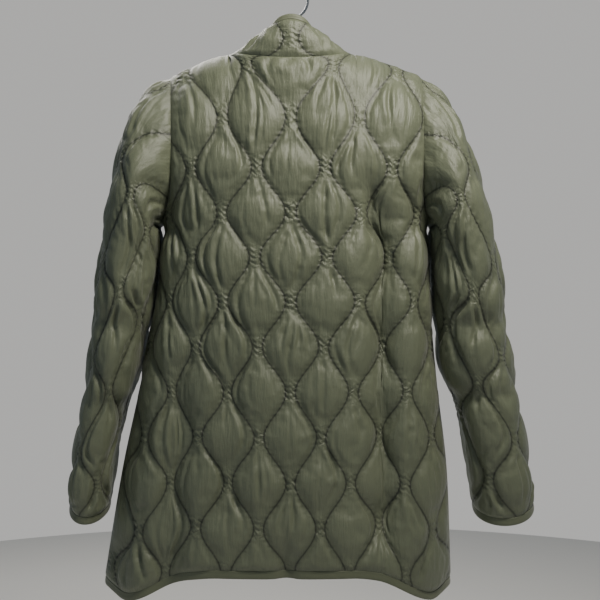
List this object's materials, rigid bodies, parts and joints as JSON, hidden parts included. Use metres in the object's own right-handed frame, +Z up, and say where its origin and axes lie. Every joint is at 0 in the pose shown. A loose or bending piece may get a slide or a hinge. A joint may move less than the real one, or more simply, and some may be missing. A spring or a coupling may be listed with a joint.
{
  "type": "quilted jacket on a hanger",
  "caption": "Olive onion-quilted jacket with a stand collar, bound edges and a press-stud front, hanging open and empty on a plain hanger with a wire hook",
  "frame": {"origin": "inside the top of the hanger's hook, where a rail or peg carries it", "axes": "+Z up; the wearer's front faces -Y; the wearer's left is +X"},
  "size_m": [0.6722, 0.1911, 0.8819],
  "materials": {
    "quilted_shell": "olive nylon shell with a soft sheen, quilted over light padding",
    "binding": "narrow olive nylon bias binding and plain bands",
    "press_stud": "matt olive press-stud caps",
    "hook_wire": "bright plated steel wire",
    "hanger_plastic": "plain black moulded plastic"
  },
  "bodies": {
    "root": {"back_panel": "quilted_shell", "left_front": "quilted_shell", "right_front": "quilted_shell", "left_sleeve": "quilted_shell", "right_sleeve": "quilted_shell", "collar": "quilted_shell", "hem_binding": "binding", "left_cuff_binding": "binding", "right_cuff_binding": "binding", "collar_binding": "binding", "left_front_band": "binding", "right_front_band": "binding", "press_stud_1": "press_stud", "press_stud_2": "press_stud", "press_stud_3": "press_stud", "press_stud_4": "press_stud", "press_stud_5": "press_stud", "press_stud_6": "press_stud", "hanger_hook": "hook_wire", "hanger_arms": "hanger_plastic"}
  },
  "joints": []
}
